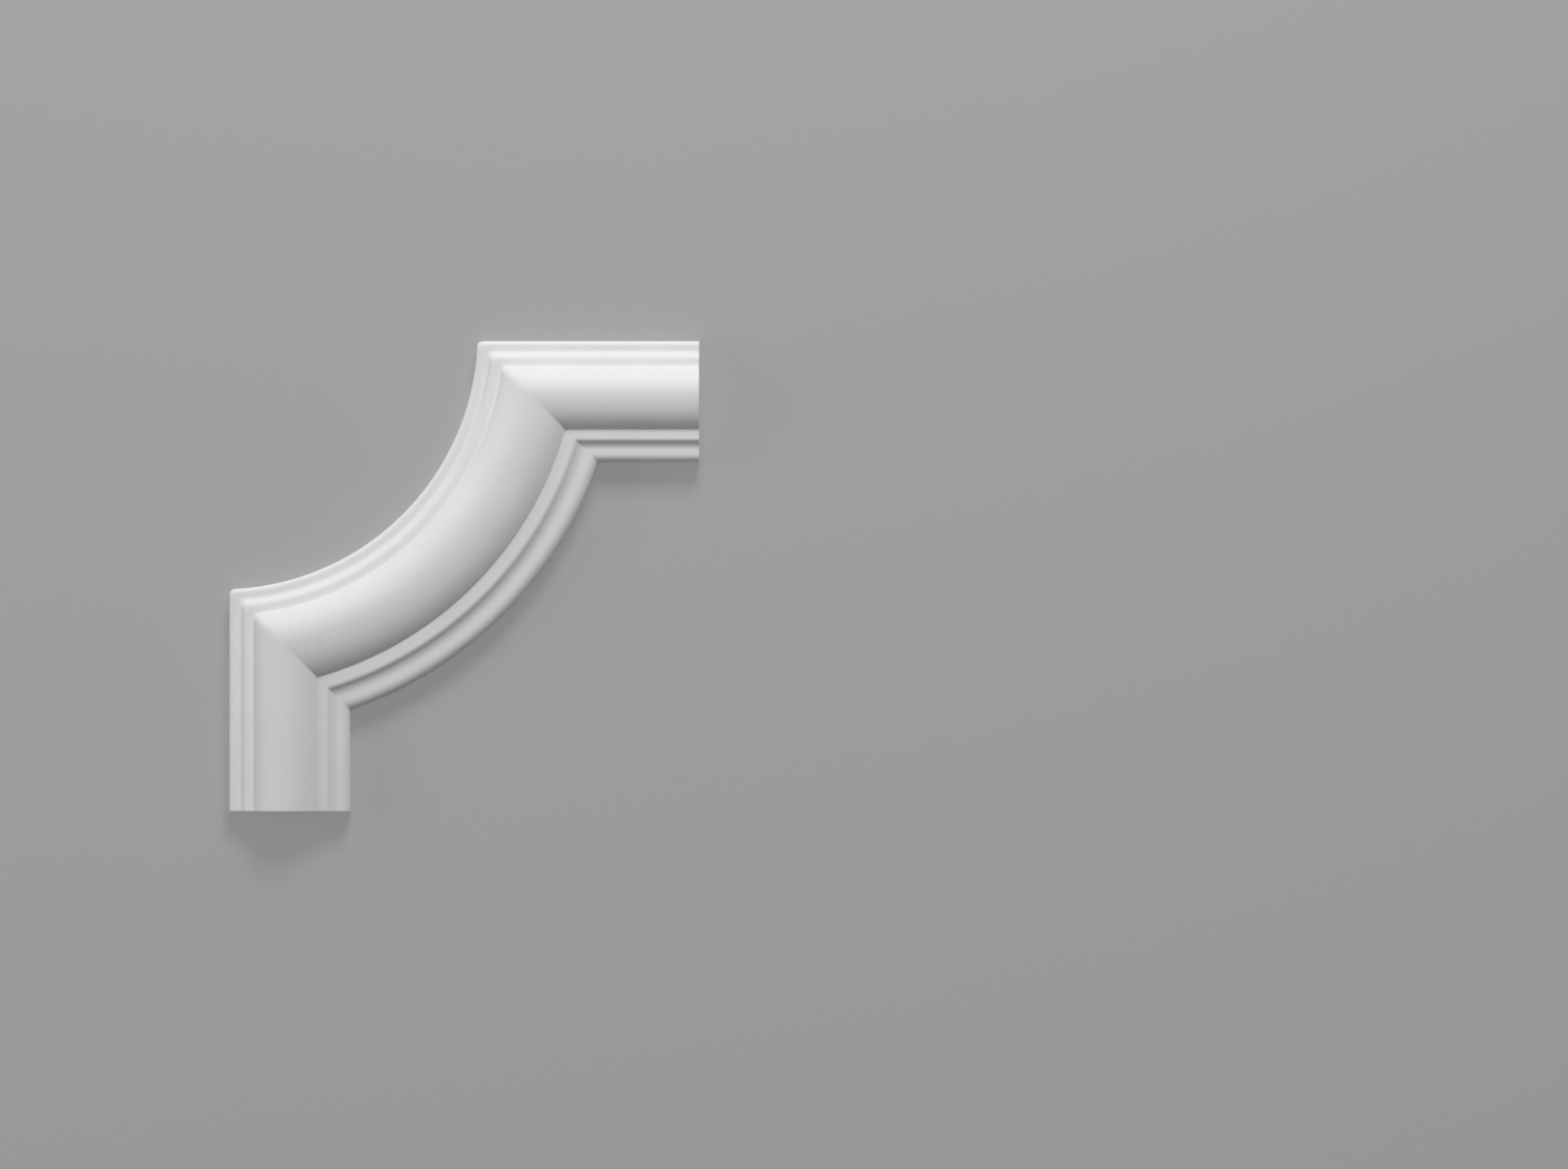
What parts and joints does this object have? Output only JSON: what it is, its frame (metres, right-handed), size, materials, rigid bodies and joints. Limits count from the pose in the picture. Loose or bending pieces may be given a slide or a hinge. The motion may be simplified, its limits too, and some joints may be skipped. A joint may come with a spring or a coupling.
{
  "type": "panel moulding corner",
  "caption": "Corner piece of wall panel moulding: two mitred legs at right angles joined by an inward-bowed round sweep with a large bead between stepped bands.",
  "frame": {"origin": "middle of the square that the piece fills, on its flat back", "axes": "+Z out of the wall, away from the back; +X along one leg to its cut end; -Y along the other leg to its cut end"},
  "size_m": [0.155, 0.155, 0.0168],
  "materials": {
    "white_primer": "matt white primer on rigid foam"
  },
  "bodies": {
    "root": {"corner_moulding": "white_primer"}
  },
  "joints": []
}
